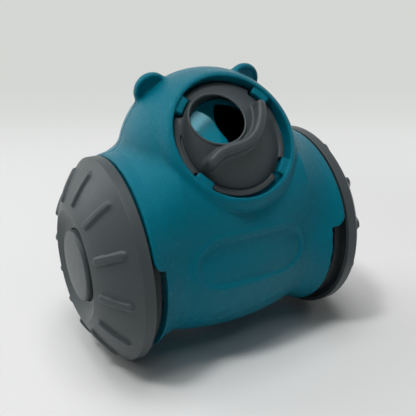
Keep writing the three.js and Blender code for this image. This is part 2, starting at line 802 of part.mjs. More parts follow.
function hubCap(side) {
  const foot = capSeat + gap;
  const eighth = capRound / 8;
  const inner = capRadius - capSkirt;
  const points = [
    [0, capCrown], [capRadius - 2 * capRound, capCrown - eighth],
    [capRadius - capRound, capCrown - capRound / 3], [capRadius - capRound / 4, capMouth + eighth],
    [capRadius, capMouth - eighth], [capRadius, foot],
    [inner, foot], [inner, capCrown - capWall - capRound / 2], [0, capCrown - capWall],
  ];
  return solid(turnedX(outward(points, side), capSides));
}

// Axle pieces
const washerFoot = capSeat + runningGap;
const headFoot = washerFoot + washerThickness + gap;

function stubAxle(side) {
  const tip = wheelInset + washerFoot - gap;
  const boss = inwardWall - axleBossInside - gap;
  const well = tip - axleScrewLength - gap;
  const inner = boss - axleFlangeThickness;
  const hole = screwRadius + gap;
  const points = [
    [0, inner], [axleFlange, inner], [axleFlange, boss], [axleRadius, boss], [axleRadius, tip], [hole, tip],
    [hole, well], [0, well],
  ];
  const flat = axleFlange * axleFlatShare;
  const keyFlat = sidesOfToy.map((end) => {
    const near = side > 0 ? inner - overrun : -boss;
    const z = [end * flat, end * 2 * axleFlange].sort((a, b) => a - b);
    return solid(box(near, near + axleFlangeThickness + overrun, -axleFlange, axleFlange, z[0], z[1]));
  });
  return cut(solid(turnedX(mirrored(points, side), pinSides)), ...keyFlat);
}

function bush(side) {
  const low = wheelInset - drumDepth;
  return ring(side, low, wheelInset + capSeat - gap / 2, axleRadius + gap, bushRadius, pinSides);
}

function washer(side) {
  const foot = wheelInset + washerFoot;
  return ring(side, foot, foot + washerThickness, screwRadius + gap, washerRadius, pinSides);
}

// Pan head screw as [radius, place along it], with the underside of its head at seat
function screwProfile(seat, length) {
  return [
    [0, seat - length], [screwRadius, seat - length], [screwRadius, seat], [screwHeadRadius, seat],
    [screwHeadRadius, seat + screwHeadHeight / 2],
    [screwHeadRadius * screwCrownShare, seat + screwHeadHeight], [0, seat + screwHeadHeight],
  ];
}

function axleScrew(side) {
  const foot = wheelInset + headFoot;
  const points = screwProfile(foot, axleScrewLength);
  return solid(turnedX(mirrored(points, side), screwSides));
}

// Ballast: an iron bar cast to the belly's curve, under a tray that keeps the treats off it
function ballast() {
  const belly = solid(bodyLoft(inwardWall, shellWall + gap, cavityStations, cavitySides));
  const block = solid(box(-ballastHalf, ballastHalf, -ballastFront, ballastBack, -wheelRadius, -ballastTop));
  return belly.intersect(block);
}

function roundedPlate(half, halfDepth, corner) {
  const shape = new THREE.Shape();
  shape.moveTo(-half + corner, -halfDepth);
  shape.absarc(half - corner, -halfDepth + corner, corner, -Math.PI / 2, 0, false);
  shape.absarc(half - corner, halfDepth - corner, corner, 0, Math.PI / 2, false);
  shape.absarc(-half + corner, halfDepth - corner, corner, Math.PI / 2, Math.PI, false);
  shape.absarc(-half + corner, -halfDepth + corner, corner, Math.PI, 3 * Math.PI / 2, false);
  return shape;
}

function ballastTray() {
  const outline = roundedPlate(trayHalf, trayHalfDepth, trayCorner);
  const plate = solid(extruded(outline, trayFloor, trayFloor + trayThickness, 3));
  const holes = trayPlaces.map(([x, y]) => (
    solid(barZ(x, y, trayFloor - overrun, trayFloor + 2 * overrun, screwRadius + gap, screwSides))
  ));
  return cut(plate, ...holes);
}

function trayScrew([x, y]) {
  const points = screwProfile(trayFloor + trayThickness + gap, trayThickness + trayScrewLength);
  return solid(turnedZ(points, screwSides).translate(x, y, 0));
}

function closingScrew([x, z]) {
  const screw = turnedZ(screwProfile(0, closeScrewLength), screwSides);
  screw.rotateX(-Math.PI / 2);
  screw.translate(x, seamOffset + closeWeb + gap, z);
  return solid(screw);
}

// Finishes, read from the photograph
const teal = new THREE.MeshStandardMaterial({ color: 0x0b7f92, roughness: 0.5, metalness: 0 });
const glossTeal = new THREE.MeshStandardMaterial({ color: 0x0a8aa0, roughness: 0.16, metalness: 0 });
const grey = new THREE.MeshStandardMaterial({ color: 0x5f6466, roughness: 0.5, metalness: 0 });
const darkGrey = new THREE.MeshStandardMaterial({ color: 0x2c3033, roughness: 0.55, metalness: 0 });
const nylon = new THREE.MeshStandardMaterial({ color: 0xd9d8d0, roughness: 0.45, metalness: 0 });
const steel = new THREE.MeshStandardMaterial({ color: 0xb4b8bb, roughness: 0.3, metalness: 1 });
const iron = new THREE.MeshStandardMaterial({ color: 0x4a4b4d, roughness: 0.6, metalness: 1 });

function piece(name, manifold, material) {
  const mesh = new THREE.Mesh(geometryOf(manifold), material);
  mesh.name = name;
  return mesh;
}

function wheelSet(side, word) {
  const set = new THREE.Group();
  set.add(piece(`${word}_wheel_cover`, wheelCover(side), grey));
  set.add(piece(`${word}_wheel_drum`, wheelPlate(side), darkGrey));
  set.add(piece(`${word}_hub_cap`, hubCap(side), grey));
  set.add(piece(`${word}_bush`, bush(side), nylon));
  set.add(piece(`${word}_stub_axle`, stubAxle(side), steel));
  set.add(piece(`${word}_axle_washer`, washer(side), steel));
  set.add(piece(`${word}_axle_screw`, axleScrew(side), steel));
  return set;
}

function bodySet() {
  const set = new THREE.Group();
  const { front, rear } = shells();
  set.add(piece('front_shell', front, teal));
  set.add(piece('rear_shell', rear, teal));
  set.add(piece('ballast', ballast(), iron));
  set.add(piece('ballast_tray', ballastTray(), darkGrey));
  trayPlaces.forEach((place, i) => set.add(piece(`tray_screw_${i + 1}`, trayScrew(place), steel)));
  closePlaces.forEach((place, i) => set.add(piece(`closing_screw_${i + 1}`, closingScrew(place), steel)));
  return set;
}

function neckSet() {
  const set = new THREE.Group();
  set.rotation.x = degrees(neckLean);
  set.position.set(0, -neckForward, neckHeight);
  set.add(piece('lid', lid(), grey));
  set.add(piece('flow_shutter', shutter(), glossTeal));
  return set;
}

const toy = new THREE.Group();
toy.position.z = axleHeight;
toy.add(bodySet(), neckSet(), wheelSet(-1, 'left'), wheelSet(1, 'right'));

export default toy;
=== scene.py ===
import math
import bpy
import numpy as np
from mathutils import Matrix, Vector


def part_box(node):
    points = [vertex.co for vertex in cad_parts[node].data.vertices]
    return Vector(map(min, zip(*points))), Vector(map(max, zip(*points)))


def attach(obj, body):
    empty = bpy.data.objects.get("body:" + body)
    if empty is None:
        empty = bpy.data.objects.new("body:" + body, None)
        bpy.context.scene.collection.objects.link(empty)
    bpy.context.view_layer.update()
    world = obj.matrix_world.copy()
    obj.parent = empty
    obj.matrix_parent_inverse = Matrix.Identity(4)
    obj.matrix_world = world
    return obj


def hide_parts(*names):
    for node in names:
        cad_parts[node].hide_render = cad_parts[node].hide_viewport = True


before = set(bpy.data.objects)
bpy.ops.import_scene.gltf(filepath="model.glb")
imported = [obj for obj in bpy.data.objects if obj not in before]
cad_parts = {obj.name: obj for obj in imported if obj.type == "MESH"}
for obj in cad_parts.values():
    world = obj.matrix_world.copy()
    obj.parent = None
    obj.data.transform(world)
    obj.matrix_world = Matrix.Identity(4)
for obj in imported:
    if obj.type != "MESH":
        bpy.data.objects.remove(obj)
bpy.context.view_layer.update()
mm = 0.001

# Places shared by several pieces, in millimetres from the middle of the axle
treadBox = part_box("left_wheel_cover")
axleHeight = (treadBox[0][2] + treadBox[1][2]) / 2 / mm
toy = {
    "wheelInset": 48.6,      # middle of the toy to the tread's inner edge
    "headCentre": (0.0, 2.3, 40.9),
    "headRadius": 38.9,      # seen from the side
    "headHalf": 40.7,        # half the head's width, along the axle
    "neckLean": 53.0,        # degrees from upright, towards the front
    "lipCentre": (0.0, -23.1, 55.6),
    "seam": 10.0,            # plane between the shells, behind the axle
    "seamGap": 0.3,
}
lean = math.radians(toy["neckLean"])
neckToToy = Matrix.Translation(toy["lipCentre"]) @ Matrix.Rotation(lean, 4, "X")
neckTurn = neckToToy.to_3x3().to_4x4()


# Mesh tools

# A mesh from arrays in millimetres about the axle; it stands in the frame, in metres.
def newPiece(name, points, faces, material, normals=None):
    mesh = bpy.data.meshes.new(name)
    points = (np.asarray(points, dtype=np.float64) + (0, 0, axleHeight)) * mm
    faces = np.asarray(faces)
    width = faces.shape[1]
    mesh.vertices.add(len(points))
    mesh.vertices.foreach_set("co", points.astype(np.float32).ravel())
    mesh.loops.add(faces.size)
    mesh.loops.foreach_set("vertex_index", faces.astype(np.int32).ravel())
    mesh.polygons.add(len(faces))
    mesh.polygons.foreach_set("loop_start", np.arange(0, faces.size, width, dtype=np.int32))
    mesh.update(calc_edges=True)
    mesh.polygons.foreach_set("use_smooth", np.full(len(mesh.polygons), True))
    if normals is not None:
        mesh.normals_split_custom_set_from_vertices(normals)
    mesh.materials.append(material)
    piece = bpy.data.objects.new(name, mesh)
    bpy.context.scene.collection.objects.link(piece)
    return piece


# Quads between neighbouring rows of a grid of points; the columns close on themselves with wrap.
def gridFaces(rows, columns, wrap):
    across = columns if wrap else columns - 1
    row, column = np.meshgrid(np.arange(rows - 1), np.arange(across), indexing="ij")
    here, there = row * columns + column, row * columns + (column + 1) % columns
    return np.stack([here, there, there + columns, here + columns], -1).reshape(-1, 4)


# Points carried by a matrix: rotation times point, plus the shift.
def placed(points, matrix):
    turn = np.array(matrix.to_3x3())
    return points @ turn.T + np.array(matrix.translation)


netSizes = {
    "probe": 0.05,           # shares of the grid's step
    "longestMove": 0.6,
    "leastSlope": 0.2,
    "passes": 3,
}


# Skin of the region where field(x, y, z) < 0: points, normals and faces.
# Each grid cell that the surface crosses gets one point, the mean of the crossings on its edges,
# and each crossed grid edge gets the quad of its four cells.
def surfaceNet(field, low, high, step):
    axes = [np.arange(a, b + step, step, dtype=np.float32) for a, b in zip(low, high)]
    value = field(axes[0][:, None, None], axes[1][None, :, None], axes[2][None, None, :])
    value = np.broadcast_to(value, [len(axis) for axis in axes]).astype(np.float32)
    inside = value < 0
    corners = [(i, j, k) for i in (0, 1) for j in (0, 1) for k in (0, 1)]
    shape = np.array(value.shape) - 1
    cut = [inside[i:i + shape[0], j:j + shape[1], k:k + shape[2]] for i, j, k in corners]
    some, every = np.logical_or.reduce(cut), np.logical_and.reduce(cut)
    cells = np.argwhere(some & ~every)
    number = np.full(shape, -1, dtype=np.int64)
    number[tuple(cells.T)] = np.arange(len(cells))
    total = np.zeros((len(cells), 3))
    count = np.zeros(len(cells))
    for a in corners:
        for axis in range(3):
            if a[axis]:
                continue
            b = tuple(1 if i == axis else a[i] for i in range(3))
            atA = value[tuple((cells + a).T)]
            atB = value[tuple((cells + b).T)]
            crossed = (atA < 0) != (atB < 0)
            share = np.where(crossed, atA / np.where(crossed, atA - atB, 1), 0)
            total += crossed[:, None] * (np.array(a) + share[:, None] * (np.array(b) - np.array(a)))
            count += crossed
    points = (cells + total / count[:, None]) * step + np.array(low)
    return ontoSkin(field, points, step) + (netFaces(inside, number, shape),)


# One quad for each grid edge that the surface crosses, turned so that it faces outwards.
def netFaces(inside, number, shape):
    faces = []
    for axis in range(3):
        one, two = (axis + 1) % 3, (axis + 2) % 3
        first = np.take(inside, range(inside.shape[axis] - 1), axis)
        second = np.take(inside, range(1, inside.shape[axis]), axis)
        edges = np.argwhere(first != second)
        edges = edges[(edges[:, one] > 0) & (edges[:, two] > 0)]
        edges = edges[(edges[:, one] < shape[one]) & (edges[:, two] < shape[two])]
        quad = []
        for da, db in ((1, 1), (0, 1), (0, 0), (1, 0)):
            cell = edges.copy()
            cell[:, one] -= da
            cell[:, two] -= db
            quad.append(number[tuple(cell.T)])
        quad = np.stack(quad, -1)
        outward = inside[tuple(edges.T)]
        faces.append(np.where(outward[:, None], quad, quad[:, ::-1]))
    return np.concatenate(faces)


# Points moved along the field's slope to its zero, p - field(p) * slope / |slope|^2,
# and the slope there, one long, as their normals.
def ontoSkin(field, points, step):
    probe = step * netSizes["probe"]
    longest = step * netSizes["longestMove"]
    for _ in range(netSizes["passes"]):
        here = field(*points.T)
        slope = np.stack([
            (field(*(points + shift).T) - field(*(points - shift).T)) / (2 * probe)
            for shift in np.eye(3) * probe], -1)
        steepness = np.maximum((slope ** 2).sum(-1), netSizes["leastSlope"])
        move = np.clip(here / steepness, -step, step)[:, None] * slope
        points = points - np.clip(move, -longest, longest)
    normals = slope / np.linalg.norm(slope, axis=-1, keepdims=True)
    return points, normals


# Field maths: a field is negative inside its piece, and a width rounds the edge where two fields meet

sharp, keen, crisp, soft, full = 0.4, 0.5, 0.6, 0.8, 1.0     # widths, in millimetres


# The lesser of two fields, with a fillet: min - (width - |a - b|)^2 / 4 width.
def softMin(a, b, width):
    near = np.maximum(width - np.abs(a - b), 0)
    return np.minimum(a, b) - near * near / (4 * width)


# The greater of two fields, with its edge rounded.
def softMax(a, b, width):
    return -softMin(-a, -b, width)


# Smooth step from 0 to 1: 3t^2 - 2t^3.
def ease(value):
    t = np.clip(value, 0, 1)
    return t * t * (3 - 2 * t)


# The space between two parallel faces, with its edges rounded when it meets another field.
def slab(value, low, high, width):
    return softMax(low - value, value - high, width)


# A tube about an axis: between two radii and two places along it.
def ring(distance, along, inner, outer, low, high, width):
    return softMax(slab(distance, inner, outer, width), slab(along, low, high, width), width)


# A rod about an axis: a tube whose inner radius is below zero.
def rod(distance, along, outer, low, high, width):
    return ring(distance, along, -1, outer, low, high, width)


# Distance past the sides of four sectors, mirrored about both axes: radius times angle, angles in degrees.
def fourSectors(across, up, middle, span):
    folded = np.arctan2(np.abs(up), np.abs(across)) - math.radians(middle)
    return (np.abs(folded) - math.radians(span / 2)) * np.maximum(np.hypot(across, up), 1)


# Shader expressions

# A socket that can be added, subtracted and scaled in Python; each step adds a Math node.
class Sock:

    def __init__(self, finish, link):
        self.finish = finish
        self.link = link

    def maths(self, operation, first, second):
        return self.finish.node("ShaderNodeMath", {"operation": operation}, {0: first, 1: second})

    def __add__(self, other):
        return self.maths("ADD", self, other)

    def __radd__(self, other):
        return self.maths("ADD", other, self)

    def __sub__(self, other):
        return self.maths("SUBTRACT", self, other)

    def __rsub__(self, other):
        return self.maths("SUBTRACT", other, self)

    def __mul__(self, other):
        return self.maths("MULTIPLY", self, other)

    def __rmul__(self, other):
        return self.maths("MULTIPLY", other, self)

    def orLess(self, limit):
        return self.maths("MINIMUM", self, limit)


# A material, or the world, with its node tree and one method for every node.
class Finish:

    def __init__(self, block, shader="Principled BSDF"):
        self.block = block
        block.use_nodes = True
        self.tree = block.node_tree
        self.shader = self.tree.nodes[shader]

    def node(self, kind, settings=None, inputs=None, output=0):
        made = self.tree.nodes.new(kind)
        for name, value in (settings or {}).items():
            if name == "stops":
                while len(made.color_ramp.elements) < len(value):
                    made.color_ramp.elements.new(1)
                for element, (place, colour) in zip(made.color_ramp.elements, value):
                    element.position = place
                    element.color = colour
            else:
                setattr(made, name, value)
        for name, value in (inputs or {}).items():
            self.feed(made.inputs[name], value)
        return Sock(self, made.outputs[output])

    def feed(self, socket, value):
        if isinstance(value, Sock):
            self.tree.links.new(value.link, socket)
        else:
            socket.default_value = value

    def set(self, **inputs):
        for name, value in inputs.items():
            self.feed(self.shader.inputs[name.replace("_", " ")], value)

    def place(self):
        return self.node("ShaderNodeTexCoord", output=3)

    # scale is in bumps to the metre
    def noise(self, scale, detail, rough):
        inputs = {"Vector": self.place(), "Scale": scale, "Detail": detail, "Roughness": rough}
        return self.node("ShaderNodeTexNoise", {}, inputs)

    # 1 for what the camera sees, directly, in a shiny surface or through a clear one, and 0 for other light
    def seen(self):
        camera, glossy, through = (self.node("ShaderNodeLightPath", output=i) for i in (0, 3, 6))
        return (camera + glossy + through).orLess(1.0)

    def mixed(self, share, first, second):
        return self.node("ShaderNodeMix", {"data_type": "RGBA"}, {0: share, 6: first, 7: second}, 2)

    def bump(self, height, strength, distance):
        return self.node("ShaderNodeBump", {}, {"Height": height, "Strength": strength, "Distance": distance})


# Noise scales are in bumps to the metre, and a grain's depth is in metres
mouldedLooks = {
    "tealShell": {"colour": (0.0, 0.146, 0.214, 1), "pale": (0.0, 0.164, 0.236, 1), "rough": 0.25,
                  "grain": 0.9, "fleck": 2600.0, "sheen": 0.33, "tint": (0.08, 0.6, 0.7, 1)},
    "greyTrim": {"colour": (0.048, 0.06, 0.064, 1), "pale": (0.063, 0.075, 0.079, 1), "rough": 0.4,
                 "grain": 0.4, "fleck": 2300.0, "sheen": 0.5, "tint": (0.5, 0.55, 0.56, 1)},
    "darkDrum": {"colour": (0.012, 0.016, 0.018, 1), "pale": (0.016, 0.02, 0.022, 1), "rough": 0.45,
                 "grain": 0.2, "fleck": 2300.0, "sheen": 0.4, "tint": (0.5, 0.55, 0.56, 1)},
    "nylon": {"colour": (0.62, 0.61, 0.56, 1), "pale": (0.68, 0.67, 0.63, 1), "rough": 0.4,
              "grain": 0.05, "fleck": 2300.0, "sheen": 0.5, "tint": (1, 1, 1, 1)},
}


mouldingMarks = {"drift": 38.0, "flow": 420.0, "flowInRough": 0.14, "fleckInRough": 0.1,
                 "flowInGrain": 0.4, "depth": 0.00035}


# Spark-textured moulding: colour drifts a little over centimetres, roughness over millimetres.
def mouldedPlastic(name):
    look, marks = mouldedLooks[name], mouldingMarks
    finish = Finish(bpy.data.materials.new(name))
    drift = finish.noise(marks["drift"], 3.0, 0.5)
    fleck = finish.noise(look["fleck"], 2.0, 0.6)
    flow = finish.noise(marks["flow"], 4.0, 0.55)
    uneven = (flow - 0.5) * marks["flowInRough"] + (fleck - 0.5) * marks["fleckInRough"]
    finish.set(
        Specular_IOR_Level=look["sheen"],
        Specular_Tint=look["tint"],
        Base_Color=finish.mixed(drift, look["colour"], look["pale"]),
        Roughness=look["rough"] + uneven,
        Normal=finish.bump(fleck + flow * marks["flowInGrain"], look["grain"], marks["depth"]))
    return finish.block


# The plate's teal is paler than the shell's teal: painted light, standing in for the light that falls onto
# the plate through the lid's hole.
glossLook = {"colour": (0.0, 0.27, 0.38, 1), "pale": (0.0, 0.3, 0.42, 1), "tint": (0.3, 0.8, 0.95, 1),
             "rough": 0.05, "roughDrift": 0.03, "wave": 60.0, "grain": 0.1, "depth": 0.0004}


# Smooth tool-polished moulding, only faintly uneven, in a teal made paler than the shell's as painted light.
def polishedPlastic(name):
    look = glossLook
    finish = Finish(bpy.data.materials.new(name))
    wave = finish.noise(look["wave"], 2.0, 0.4)
    finish.set(
        Specular_Tint=look["tint"],
        Base_Color=finish.mixed(wave, look["colour"], look["pale"]),
        Roughness=look["rough"] + wave * look["roughDrift"],
        Normal=finish.bump(wave, look["grain"], look["depth"]))
    return finish.block


metalLooks = {
    "steel": {"colour": (0.56, 0.57, 0.58, 1), "dull": (0.448, 0.456, 0.464, 1), "metallic": 1.0,
              "patch": (120.0, 2.0, 0.5), "streak": (900.0, 3.0, 0.6),
              "rough": 0.2, "roughDrift": 0.2, "grain": 0.15, "depth": 0.0001},
    "castIron": {"colour": (0.05, 0.05, 0.052, 1), "dull": (0.09, 0.088, 0.086, 1), "metallic": 0.8,
                 "patch": (1400.0, 4.0, 0.65), "streak": (1400.0, 4.0, 0.65),
                 "rough": 0.55, "roughDrift": 0.2, "grain": 0.5, "depth": 0.0004},
}


# Bare metal, duller in patches and with streaks that roughen it.
def bareMetal(name):
    look = metalLooks[name]
    finish = Finish(bpy.data.materials.new(name))
    streak = finish.noise(*look["streak"])
    patch = finish.noise(*look["patch"])
    finish.set(
        Base_Color=finish.mixed(patch, look["colour"], look["dull"]),
        Metallic=look["metallic"],
        Roughness=look["rough"] + streak * look["roughDrift"],
        Normal=finish.bump(streak, look["grain"], look["depth"]))
    return finish.block


finishes = {name: mouldedPlastic(name) for name in mouldedLooks}
finishes["tealGloss"] = polishedPlastic("tealGloss")
for name in metalLooks:
    finishes[name] = bareMetal(name)
print("stage: finishes made")


# Body shells

shellSizes = {
    "wall": 2.2,
    "half": 42.3,            # middle of the toy to the end wall
    "belly": 42.8, "waist": 38.9, "waistAt": 30.0, "end": 43.0,
    "shoulder": 47.4, "shoulderRise": 0.48, "chest": 3.2, "middleRound": 6.0,
    # sines and cosines of the angle round the axle, over which the top and the chest rise
    "riseFrom": 0.2, "riseSpan": 0.75, "chestSpan": 0.45, "chestFront": 0.3,
    "collarReach": 5.2, "collar": 46.3, "collarInner": 41.9, "tabFoot": 10.5, "tabRound": 7.0,
    "tabEdge": 0.9, "mouthEdge": 0.7, "wellEdge": 0.7,
    "headBlend": 3.0, "neckBlend": 1.0, "earBlend": 2.4, "creaseBlend": 0.3,
    "swell": 2.8, "swellDepth": 4.5, "neckFoot": 16.0, "neckRoom": 2.5,
    "lip": 29.0, "bore": 27.4, "lipRound": 0.8, "ledge": 6.0,
    "throat": 22.4, "throatWall": 2.9, "throatDepth": 12.4, "throatCut": 30.0, "aboveLip": 9.0,
    "lugAngle": 41.0, "lugSpan": 18.4, "lugReach": 23.9, "lugTop": 0.6, "lugThick": 2.6,
    "lugLap": 0.8,
    "keyHalf": 2.5, "keyReach": 24.2, "keyAbove": 1.0,
    "earAt": (23.4, 7.0, 70.5), "earRadius": 8.2, "earThick": 4.4, "earLean": 10.5, "earDish": 0.9,
    "earRim": 2.6, "earSlope": 1.6, "earRound": 2.4,
    "panelHalf": 25.6, "panelRound": 10.0, "panelRise": 8.3, "panelDepth": 0.75, "panelFrame": 0.45,
    "panelEdge": 1.5, "frameAway": 2.0, "frameWidth": 1.2,
    "wellX": 37.3, "wellZ": (-16.0, 27.0), "well": 3.4, "wellWall": 1.3, "wellFloor": 2.4,
    "postInset": 0.3, "postLap": 0.2,
    "drumSlope": 0.92, "neckSlope": 0.8,     # keep these fields near true distances
    "gridLow": (-49, -47), "gridHigh": (49, 82),     # along x and z
    "frontSpan": (-48, 11), "rearSpan": (9, 48),     # along y
    "step": 0.785,
}


# Belly minus a parabola to the waist, then a flare; on top the shoulder rises to the head,
# and in the middle the front rises to the neck.
def drumRadius(x, angle):
    s = shellSizes
    away = np.abs(x)
    belly = s["belly"] - (s["belly"] - s["waist"]) * (away / s["waistAt"]) ** 2
    flareShare = np.clip((away - s["waistAt"]) / (s["half"] - s["waistAt"]), 0, 1)
    flare = s["waist"] + (s["end"] - s["waist"]) * flareShare ** 2
    low = np.where(away < s["waistAt"], belly, flare)
    low = softMax(low, s["waist"] + 0 * low, s["creaseBlend"])
    collar = np.maximum(away - s["half"], 0) / s["collarReach"]
    low = low + (s["collar"] - s["end"]) * collar
    top = np.where(away < s["half"], s["shoulder"] + (s["half"] - away) * s["shoulderRise"],
                   s["shoulder"] + (s["collar"] - s["shoulder"]) * collar)
    rise = np.sin(angle) - s["riseFrom"]
    up = ease(rise / s["riseSpan"])
    chest = ease(rise / s["chestSpan"]) * ease(np.cos(angle) / s["chestFront"])
    chest = chest * ease(1 - away / s["waistAt"])
    blunt = s["middleRound"]
    spread = (np.hypot(x, blunt) - blunt) / (math.hypot(s["waistAt"], blunt) - blunt)
    return low + (top - low) * up * np.minimum(spread, 1) + s["chest"] * chest


# Height of the belly panel: a shallow stadium with a soft raised frame round it.
def panelRelief(x, angle):
    s = shellSizes
    along = s["belly"] * (angle - math.radians(s["panelRise"]))
    edge = np.hypot(np.maximum(np.abs(x) - (s["panelHalf"] - s["panelRound"]), 0), along) - s["panelRound"]
    sunk = ease(0.5 - edge / s["panelEdge"])
    frameBand = np.exp(-((edge - s["frameAway"]) / s["frameWidth"]) ** 2)
    return s["panelFrame"] * frameBand - s["panelDepth"] * sunk


# Toy coordinates to the neck's own: across, up and out of the lip.
def inNeck(x, y, z):
    cx, cy, cz = toy["lipCentre"]
    across = x - cx
    up = (y - cy) * math.cos(lean) + (z - cz) * math.sin(lean)
    out = -(y - cy) * math.sin(lean) + (z - cz) * math.cos(lean)
    return across, up, out


# Drum and head with a fillet, moved inwards by inset. The head is a ball stretched along the axle.
def bodySkin(x, y, z, inset):
    s = shellSizes
    distance = np.hypot(y, z)
    angle = np.arctan2(z, -y)
    relief = 0 if inset else panelRelief(x, angle)
    drum = (distance - drumRadius(x, angle) - relief) * s["drumSlope"]
    hx, hy, hz = toy["headCentre"]
    across = (x - hx) * toy["headRadius"] / toy["headHalf"]
    head = np.sqrt(across ** 2 + (y - hy) ** 2 + (z - hz) ** 2) - toy["headRadius"]
    return softMin(drum, head, s["headBlend"]) + inset


# Two upright discs with a rounded rim and a shallow dish in front.
def ears(x, y, z):
    s = shellSizes
    ex, ey, ez = s["earAt"]
    tilt = math.radians(s["earLean"])
    across = np.abs(x) - ex
    back = (y - ey) * math.cos(tilt) + (z - ez) * math.sin(tilt)
    up = -(y - ey) * math.sin(tilt) + (z - ez) * math.cos(tilt)
    distance = np.hypot(across, up)
    disc = softMax(distance - s["earRadius"], slab(back, 0, s["earThick"], full), s["earRound"])
    rim = ease((distance - s["earRadius"] + s["earRim"]) / s["earSlope"])
    dish = s["earDish"] - back - s["earDish"] * rim
    return softMax(disc, dish, crisp)


# Outside of both halves. The neck swells out below its lip by a quarter of a sine wave,
# and past the end walls a tab on each side covers the top of the wheel's drum.
def outerSkin(x, y, z):
    s = shellSizes
    across, up, out = inNeck(x, y, z)
    fromAxis = np.hypot(across, up)
    swell = s["swell"] * np.sin(math.pi / 2 * np.clip(-out / s["swellDepth"], 0, 1))
    neck = softMax((fromAxis - s["lip"] - swell) * s["neckSlope"], out, s["lipRound"])
    neck = softMax(neck, -s["neckFoot"] - out, full)
    outer = softMin(bodySkin(x, y, z, 0), ears(x, y, z), s["earBlend"])
    above = softMax(fromAxis - s["lip"] - s["neckRoom"], -out, full)
    outer = softMax(outer, -above, full)
    outer = softMin(outer, neck, s["neckBlend"])
    away = np.abs(x)
    tab = softMax(away - s["half"] - s["collarReach"], s["tabFoot"] - z, s["tabRound"])
    outer = softMax(outer, softMin(away - s["half"], tab, crisp), s["tabEdge"])
    recess = softMax(s["half"] - away, np.hypot(y, z) - s["collarInner"], soft)
    return softMax(outer, -recess, soft)


# The room inside both halves, less the walls round the lid's seat and the throat.
def innerRoom(x, y, z):
    s = shellSizes
    across, up, out = inNeck(x, y, z)
    fromAxis = np.hypot(across, up)
    room = softMax(bodySkin(x, y, z, s["wall"]), np.abs(x) - s["half"] + s["wall"], full)
    seat = rod(fromAxis, out, s["bore"] + s["wall"], -s["ledge"] - s["wall"], s["aboveLip"], crisp)
    tube = rod(fromAxis, out, s["throat"] + s["throatWall"], -s["throatDepth"], s["aboveLip"], crisp)
    return softMax(room, -np.minimum(seat, tube), soft)


# What is cut through the neck: the lid's bore, the throat and a slot for the shutter's keys.
def neckMouth(across, up, out):
    s = shellSizes
    fromAxis = np.hypot(across, up)
    bore = softMax(fromAxis - s["bore"], -s["ledge"] - out, keen)
    throat = softMax(fromAxis - s["throat"], -s["throatCut"] - out, keen)
    keys = slab(across, -s["keyReach"], s["keyReach"], sharp)
    keys = softMax(slab(up, -s["keyHalf"], s["keyHalf"], sharp), keys, sharp)
    keys = softMax(keys, slab(out, -s["neckFoot"], -s["ledge"] + s["keyAbove"], sharp), sharp)
    return np.minimum(np.minimum(bore, throat), keys)


# Both halves at once, with the four lugs that hold the lid.
def wholeShell(x, y, z):
    s = shellSizes
    across, up, out = inNeck(x, y, z)
    fromAxis = np.hypot(across, up)
    shell = softMax(outerSkin(x, y, z), -innerRoom(x, y, z), soft)
    shell = softMax(shell, -neckMouth(across, up, out), s["mouthEdge"])
    lugBottom = -s["lugTop"] - s["lugThick"]
    lug = ring(fromAxis, out, s["lugReach"], s["bore"] + s["lugLap"], lugBottom, -s["lugTop"], crisp)
    lug = softMax(lug, fourSectors(across, up, s["lugAngle"], s["lugSpan"]), soft)
    return softMin(shell, lug, sharp)


# Front half: what lies before the seam.
def frontField(x, y, z):
    return softMax(wholeShell(x, y, z), y - (toy["seam"] - toy["seamGap"] / 2), keen)


# Rear half, with the four wells that the closing screws drop into.
def rearField(x, y, z):
    s = shellSizes
    body = softMax(wholeShell(x, y, z), (toy["seam"] + toy["seamGap"] / 2) - y, keen)
    skin = softMax(bodySkin(x, y, z, s["wall"] / 2), np.abs(x) - s["half"] + s["postInset"], keen)
    for height in s["wellZ"]:
        distance = np.hypot(np.abs(x) - s["wellX"], z - height)
        post = softMax(distance - s["well"] - s["wellWall"], skin, keen)
        post = softMax(post, toy["seam"] + s["postLap"] - y, sharp)
        well = softMax(distance - s["well"], toy["seam"] + s["wellFloor"] - y, keen)
        body = softMax(softMin(body, post, soft), -well, s["wellEdge"])
    return body


def makeShells():
    s = shellSizes
    (lowX, lowZ), (highX, highZ) = s["gridLow"], s["gridHigh"]
    halves = (("frontShell", "front_shell", frontField, s["frontSpan"]),
              ("rearShell", "rear_shell", rearField, s["rearSpan"]))
    for name, node, field, (lowY, highY) in halves:
        first, last = (lowX, lowY, lowZ), (highX, highY, highZ)
        points, normals, faces = surfaceNet(field, first, last, s["step"])
        piece = newPiece(name, points, faces, finishes["tealShell"], normals)
        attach(piece, "body")
        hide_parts(node)
        print("stage:", name, len(points), "points")


makeShells()


# Lid, in the neck's own frame

lidSizes = {
    "flange": 25.8, "flangeTop": -3.7, "flangeThick": 2.0,
    "notchAngle": 41.0, "notchInner": 23.5, "notchSpan": 22.4,
    "cone": 22.6, "hole": 11.4, "holeAt": (-7.6, 7.0), "rise": 6.9, "tilt": 10.8, "tiltSide": 120.5,
    "coneEdge": 0.9, "coneSlope": 0.62, "shareLow": -0.6, "shareHigh": 1.25, "leastRise": 1.5,
    "bead": 0.6, "holeFloor": 0.55,
    # the groove at the cone's foot fades, and its fillet widens, from the middle up to smoothUp
    "smoothUp": 12.0, "grooveAway": 0.5, "grooveLift": 0.4, "grooveSize": 0.95, "footFillet": 4.5,
    "skirt": 21.9, "skirtWall": 1.6, "skirtDepth": 3.9, "snap": 0.9,
    "gripHalf": 2.0, "gripCrown": 12.6, "gripDrop": 0.0085, "gripDraft": 0.09, "gripBlend": 1.4,
    "gripRound": 1.8, "gripRoot": 0.5, "gripRuns": 90,
    "grip": [(14.6, 10.4), (14.0, 8.6), (11.5, 3.8), (8.8, -0.2), (5.5, -3.6), (1.0, -6.2), (-4.5, -7.4),
             (-8.8, -7.8), (-12.5, -8.8), (-16.2, -11.0)],
    "reach": 26.6, "low": -10.4, "high": 10.6,       # the grid's box
    "step": 0.36,
}


